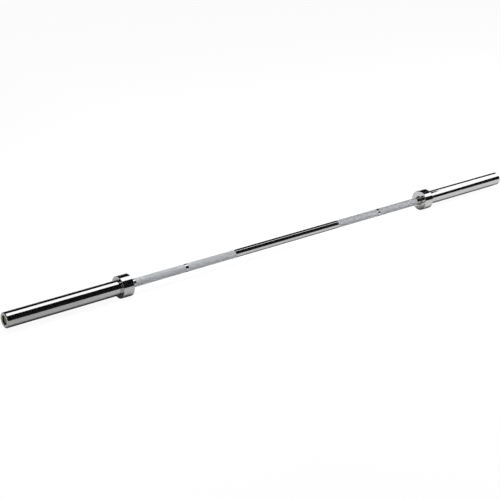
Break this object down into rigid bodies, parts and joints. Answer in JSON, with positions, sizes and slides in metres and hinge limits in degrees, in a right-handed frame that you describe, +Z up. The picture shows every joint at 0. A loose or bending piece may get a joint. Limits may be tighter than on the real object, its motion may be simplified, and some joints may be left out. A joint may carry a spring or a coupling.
{
  "type": "barbell",
  "caption": "Straight weightlifting bar: a knurled chrome shaft whose ends carry free-turning sleeves with stop collars, on which weight plates slide.",
  "frame": {"origin": "middle of the bar, on its axis", "axes": "+X along the bar towards the right sleeve, +Z up, -Y towards the lifter"},
  "size_m": [2.2, 0.074, 0.074],
  "materials": {
    "sleeve_chrome": "bright hard chrome",
    "shaft_chrome": "chrome, bright where smooth and satin where knurled",
    "bronze": "turned, oiled bronze",
    "washer_steel": "ground steel",
    "black_spring_steel": "black phosphate",
    "yellow_zinc": "yellow zinc plating with an olive tint",
    "seal_rubber": "matt black rubber"
  },
  "bodies": {
    "shaft": {"shaft": "shaft_chrome", "left_shaft_ring": "black_spring_steel", "right_shaft_ring": "black_spring_steel"},
    "left_sleeve": {"left_sleeve_tube": "sleeve_chrome", "left_collar": "sleeve_chrome", "left_inner_bushing": "bronze", "left_outer_bushing": "bronze", "left_end_plug": "yellow_zinc", "left_plug_seal": "seal_rubber", "left_end_ring": "black_spring_steel"},
    "left_inner_washer": {"left_inner_thrust_washer": "washer_steel"},
    "left_outer_washer": {"left_outer_thrust_washer": "washer_steel"},
    "right_sleeve": {"right_sleeve_tube": "sleeve_chrome", "right_collar": "sleeve_chrome", "right_inner_bushing": "bronze", "right_outer_bushing": "bronze", "right_end_plug": "yellow_zinc", "right_plug_seal": "seal_rubber", "right_end_ring": "black_spring_steel"},
    "right_inner_washer": {"right_inner_thrust_washer": "washer_steel"},
    "right_outer_washer": {"right_outer_thrust_washer": "washer_steel"}
  },
  "joints": [
    {"name": "left_sleeve_spin", "type": "hinge", "parent": "shaft", "child": "left_sleeve", "pos_m": [-0.88, 0, 0], "axis": [1, 0, 0], "continuous": true},
    {"name": "left_inner_washer_spin", "type": "hinge", "parent": "shaft", "child": "left_inner_washer", "pos_m": [-0.65595, 0, 0], "axis": [1, 0, 0], "continuous": true},
    {"name": "left_outer_washer_spin", "type": "hinge", "parent": "shaft", "child": "left_outer_washer", "pos_m": [-1.0718, 0, 0], "axis": [1, 0, 0], "continuous": true},
    {"name": "right_sleeve_spin", "type": "hinge", "parent": "shaft", "child": "right_sleeve", "pos_m": [0.88, 0, 0], "axis": [1, 0, 0], "continuous": true},
    {"name": "right_inner_washer_spin", "type": "hinge", "parent": "shaft", "child": "right_inner_washer", "pos_m": [0.65595, 0, 0], "axis": [1, 0, 0], "continuous": true},
    {"name": "right_outer_washer_spin", "type": "hinge", "parent": "shaft", "child": "right_outer_washer", "pos_m": [1.0718, 0, 0], "axis": [1, 0, 0], "continuous": true}
  ]
}
